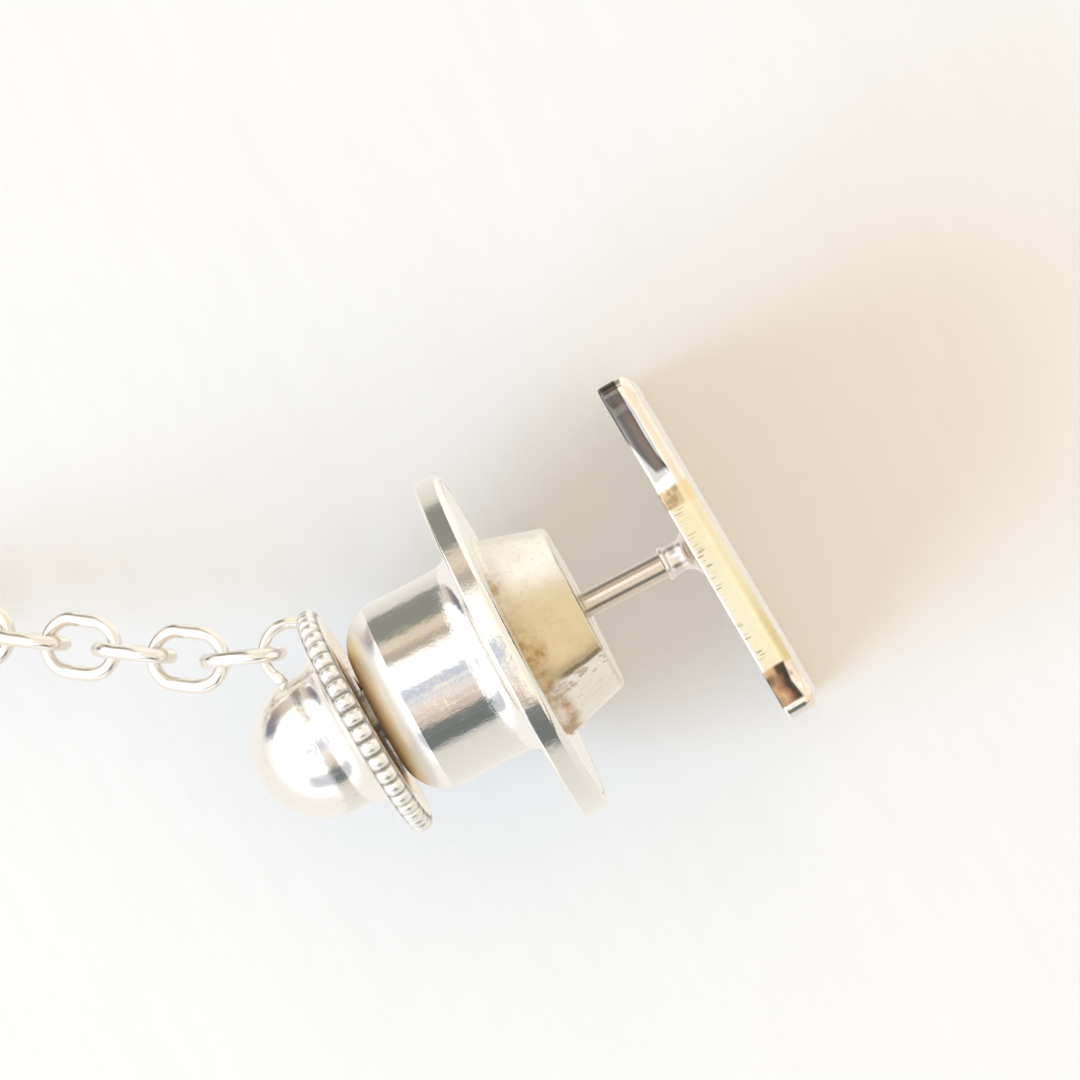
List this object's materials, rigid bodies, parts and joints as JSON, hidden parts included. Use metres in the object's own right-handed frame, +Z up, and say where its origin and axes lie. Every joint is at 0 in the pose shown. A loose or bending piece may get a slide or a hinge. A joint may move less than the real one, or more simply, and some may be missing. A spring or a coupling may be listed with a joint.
{
  "type": "tie tack",
  "caption": "Tie tack with a plain square front plate on a pin, held in a round ball-lock clutch with a domed pull knob, milled brim, fine link chain and T-bar.",
  "frame": {"origin": "on the pin's axis, where the bare pin leaves its foot behind the front plate", "axes": "+X along the pin from the knob towards the front plate, +Z up with the tack lying on its side"},
  "size_m": [0.0438, 0.0172, 0.0116],
  "materials": {
    "polished_plate": "polished, with fine file marks on its edge",
    "polished_silver": "bright polish with light handling scratches",
    "pin_steel": "drawn wire, bright",
    "satin_nose": "pale warm satin with tarnish at the root",
    "hard_steel": "ground",
    "ball_steel": "polished bearing balls",
    "spring_steel": "drawn wire",
    "brass": "turned brass",
    "chain_wire": "bright wire, slightly tarnished in the bows"
  },
  "bodies": {
    "shell": {"clutch_shell": "polished_silver", "nose_bushing": "satin_nose", "guide_washer": "brass", "clutch_spring": "spring_steel"},
    "sleeve": {"taper_sleeve": "hard_steel"},
    "tack": {"front_plate": "polished_plate", "pin_foot": "polished_plate", "tack_pin": "pin_steel"},
    "plunger": {"ball_cage": "brass", "cage_cap": "brass"},
    "ball_1": {"locking_ball_1": "ball_steel"},
    "ball_2": {"locking_ball_2": "ball_steel"},
    "ball_3": {"locking_ball_3": "ball_steel"},
    "knob": {"plunger_stem": "pin_steel", "knob_cap": "polished_silver", "chain_eye": "polished_silver"},
    "link_01": {"chain_link_01": "chain_wire"},
    "link_02": {"chain_link_02": "chain_wire"},
    "link_03": {"chain_link_03": "chain_wire"},
    "link_04": {"chain_link_04": "chain_wire"},
    "link_05": {"chain_link_05": "chain_wire"},
    "link_06": {"chain_link_06": "chain_wire"},
    "link_07": {"chain_link_07": "chain_wire"},
    "link_08": {"chain_link_08": "chain_wire"},
    "link_09": {"chain_link_09": "chain_wire"},
    "link_10": {"chain_link_10": "chain_wire"},
    "link_11": {"chain_link_11": "chain_wire"},
    "link_12": {"chain_link_12": "chain_wire"},
    "link_13": {"chain_link_13": "chain_wire"},
    "link_14": {"chain_link_14": "chain_wire"},
    "link_15": {"chain_link_15": "chain_wire"},
    "link_16": {"chain_link_16": "chain_wire"},
    "link_17": {"chain_link_17": "chain_wire"},
    "t_bar": {"t_bar": "polished_silver"}
  },
  "joints": [
    {"name": "tack_turn", "type": "hinge", "parent": "shell", "child": "sleeve", "pos_m": [0, 0, 0], "axis": [1, 0, 0], "continuous": true},
    {"name": "tack_pull", "type": "slide", "parent": "sleeve", "child": "tack", "axis": [1, 0, 0], "range_m": [0, 0.014]},
    {"name": "knob_pull", "type": "slide", "parent": "shell", "child": "plunger", "axis": [-1, 0, 0], "range_m": [0, 0.0011], "stiffness_N_per_m": 400, "springref_m": -0.002, "deforming": ["clutch_spring"]},
    {"name": "knob_turn", "type": "hinge", "parent": "plunger", "child": "knob", "pos_m": [0, 0, 0], "axis": [1, 0, 0], "continuous": true},
    {"name": "ball_1_release", "type": "slide", "parent": "plunger", "child": "ball_1", "axis": [0, 0, 1], "range_m": [0, 0.00024]},
    {"name": "ball_2_release", "type": "slide", "parent": "plunger", "child": "ball_2", "axis": [0, -0.866, -0.5], "range_m": [0, 0.00024]},
    {"name": "ball_3_release", "type": "slide", "parent": "plunger", "child": "ball_3", "axis": [0, 0.866, -0.5], "range_m": [0, 0.00024]},
    {"name": "link_01_lift", "type": "hinge", "parent": "knob", "child": "link_01", "pos_m": [-0.01218, 0.00321, 0], "axis": [0.3665, 0.9304, 0], "range_deg": [-45, 45]},
    {"name": "link_02_swing", "type": "hinge", "parent": "link_01", "child": "link_02", "pos_m": [-0.01384, 0.00386, -0.00055], "axis": [0.272, -0.1072, -0.9563], "range_deg": [-45, 45]},
    {"name": "link_03_lift", "type": "hinge", "parent": "link_02", "child": "link_03", "pos_m": [-0.0153, 0.00481, -0.00108], "axis": [-0.5446, -0.8387, 0], "range_deg": [-45, 45]},
    {"name": "link_04_swing", "type": "hinge", "parent": "link_03", "child": "link_04", "pos_m": [-0.01674, 0.00575, -0.00167], "axis": [-0.273, 0.1773, 0.9455], "range_deg": [-45, 45]},
    {"name": "link_05_lift", "type": "hinge", "parent": "link_04", "child": "link_05", "pos_m": [-0.01817, 0.00671, -0.00226], "axis": [0.5592, 0.829, 0], "range_deg": [-45, 45]},
    {"name": "link_06_swing", "type": "hinge", "parent": "link_05", "child": "link_06", "pos_m": [-0.01961, 0.00768, -0.00279], "axis": [0.2424, -0.1635, -0.9563], "range_deg": [-45, 45]},
    {"name": "link_07_lift", "type": "hinge", "parent": "link_06", "child": "link_07", "pos_m": [-0.02115, 0.0085, -0.00333], "axis": [-0.4695, -0.8829, 0], "range_deg": [-45, 45]},
    {"name": "link_08_swing", "type": "hinge", "parent": "link_07", "child": "link_08", "pos_m": [-0.02271, 0.00933, -0.00377], "axis": [-0.2136, 0.1136, 0.9703], "range_deg": [-45, 45]},
    {"name": "link_09_lift", "type": "hinge", "parent": "link_08", "child": "link_09", "pos_m": [-0.02441, 0.00982, -0.00421], "axis": [0.2756, 0.9613, 0], "range_deg": [-45, 45]},
    {"name": "link_10_swing", "type": "hinge", "parent": "link_09", "child": "link_10", "pos_m": [-0.02614, 0.01032, -0.00443], "axis": [0.1171, -0.0336, -0.9925], "range_deg": [-45, 45]},
    {"name": "link_11_lift", "type": "hinge", "parent": "link_10", "child": "link_11", "pos_m": [-0.02794, 0.01013, -0.00465], "axis": [0.1045, -0.9945, 0], "range_deg": [-45, 45]},
    {"name": "link_12_swing", "type": "hinge", "parent": "link_11", "child": "link_12", "pos_m": [-0.02975, 0.00994, -0.00466], "axis": [-0.0069, -0.0007, 1], "range_deg": [-45, 45]},
    {"name": "link_13_lift", "type": "hinge", "parent": "link_12", "child": "link_13", "pos_m": [-0.03133, 0.00903, -0.00468], "axis": [-0.5, 0.866, 0], "range_deg": [-45, 45]},
    {"name": "link_14_swing", "type": "hinge", "parent": "link_13", "child": "link_14", "pos_m": [-0.0329, 0.00812, -0.00468], "axis": [0, 0, -1], "range_deg": [-45, 45]},
    {"name": "link_15_lift", "type": "hinge", "parent": "link_14", "child": "link_15", "pos_m": [-0.03397, 0.00664, -0.00468], "axis": [0.809, -0.5878, 0], "range_deg": [-45, 45]},
    {"name": "link_16_swing", "type": "hinge", "parent": "link_15", "child": "link_16", "pos_m": [-0.03504, 0.00517, -0.00468], "axis": [0, 0, 1], "range_deg": [-45, 45]},
    {"name": "link_17_lift", "type": "hinge", "parent": "link_16", "child": "link_17", "pos_m": [-0.03542, 0.00339, -0.00468], "axis": [-0.9781, 0.2079, 0], "range_deg": [-45, 45]},
    {"name": "t_bar_swing", "type": "hinge", "parent": "link_17", "child": "t_bar", "pos_m": [-0.0358, 0.00161, -0.00468], "axis": [0, 0, -1], "range_deg": [-45, 45]}
  ],
  "couplings": [
    {"joint": "ball_1_release", "follows": "knob_pull", "ratio": 0.21256},
    {"joint": "ball_2_release", "follows": "knob_pull", "ratio": 0.21256},
    {"joint": "ball_3_release", "follows": "knob_pull", "ratio": 0.21256}
  ]
}
